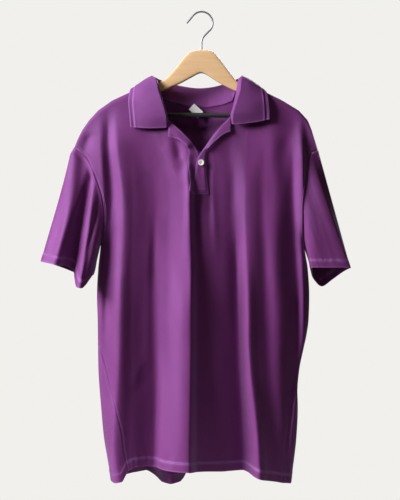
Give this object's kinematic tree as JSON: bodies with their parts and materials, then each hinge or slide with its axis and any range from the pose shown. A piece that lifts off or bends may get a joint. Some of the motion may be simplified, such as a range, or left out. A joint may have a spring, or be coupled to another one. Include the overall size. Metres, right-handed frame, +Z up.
{
  "type": "short-sleeved polo shirt on a wooden coat hanger",
  "caption": "Short-sleeved purple polo shirt with a turned-down collar and open placket, hanging in soft folds on a wooden hanger with a wire hook and trouser bar.",
  "frame": {"origin": "inside top of the hanger's hook, where a rail or peg bears", "axes": "+Z up, +X to the right seen from the front (towards the wearer's left sleeve), the front faces -Y"},
  "size_m": [0.6565, 0.1372, 1.0041],
  "materials": {
    "cloth": "soft purple cotton knit",
    "button": "pearly white",
    "label": "plain white woven tape",
    "wood": "clear satin lacquer",
    "steel": "bright plated wire",
    "bar": "black satin sleeve"
  },
  "bodies": {
    "root": {"front": "cloth", "back": "cloth", "sleeve_right": "cloth", "sleeve_left": "cloth", "collar": "cloth", "placket_over": "cloth", "placket_under": "cloth", "button_lower": "button", "button_upper": "button", "neck_label": "label", "hanger_body": "wood", "hanger_hook": "steel", "trouser_bar": "bar"}
  },
  "joints": []
}
